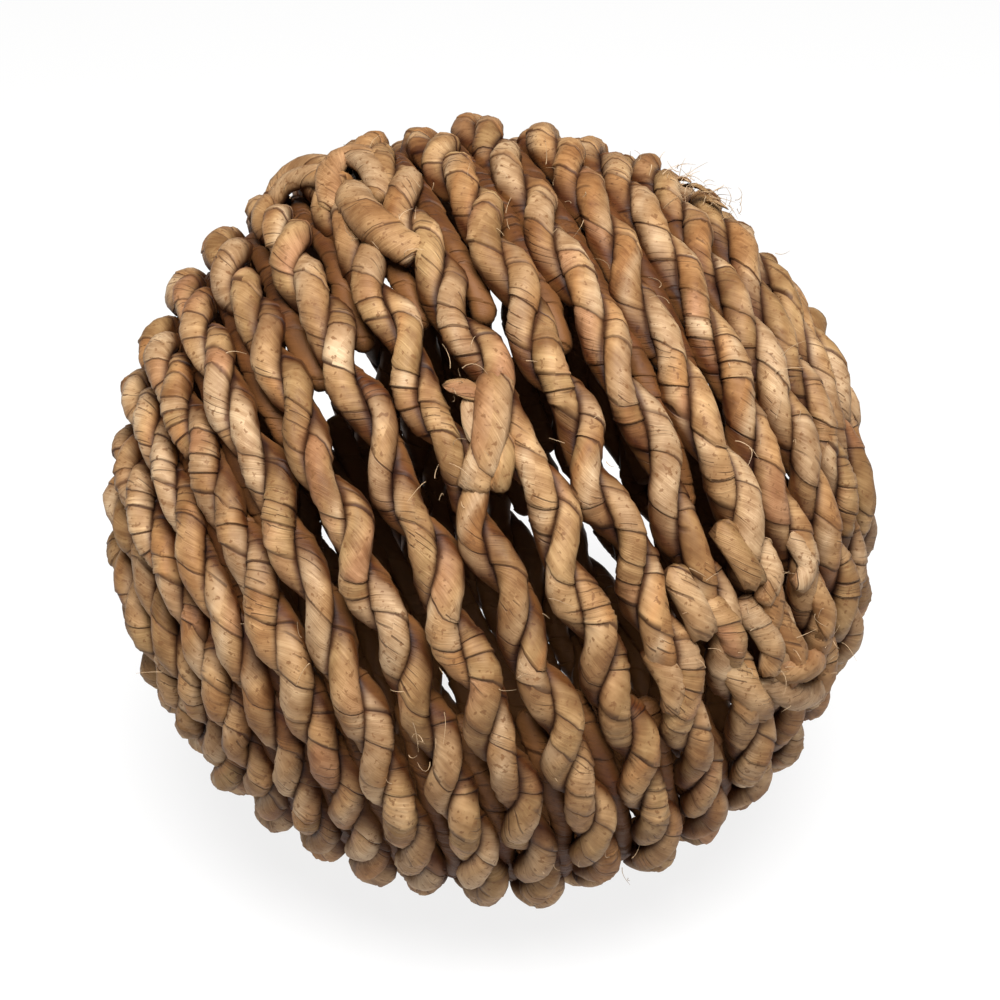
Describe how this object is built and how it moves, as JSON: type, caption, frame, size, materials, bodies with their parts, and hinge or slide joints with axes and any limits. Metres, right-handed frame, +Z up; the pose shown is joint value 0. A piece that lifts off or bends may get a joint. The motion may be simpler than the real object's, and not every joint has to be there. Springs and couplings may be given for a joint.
{
  "type": "decorative ball",
  "caption": "Hollow decorative ball wound from twisted leaf rope in one coil, with lens-shaped gaps between the turns.",
  "frame": {"origin": "the middle of the small pressed flat that the ball rests on, straight under the ball's middle", "axes": "+Z up as the ball rests; the winding axis lies in the XZ plane and leans 18 degrees up towards +X"},
  "size_m": [0.1942, 0.2001, 0.1969],
  "materials": {
    "leaf_rope": "dried leaf rolled and twisted into rope, matt with a slight sheen, with brown seams and flecks"
  },
  "bodies": {
    "root": {"rope_length_1": "leaf_rope", "rope_length_2": "leaf_rope", "rope_length_3": "leaf_rope", "rope_length_4": "leaf_rope", "rope_length_5": "leaf_rope", "rope_length_6": "leaf_rope", "rope_length_7": "leaf_rope"}
  },
  "joints": []
}
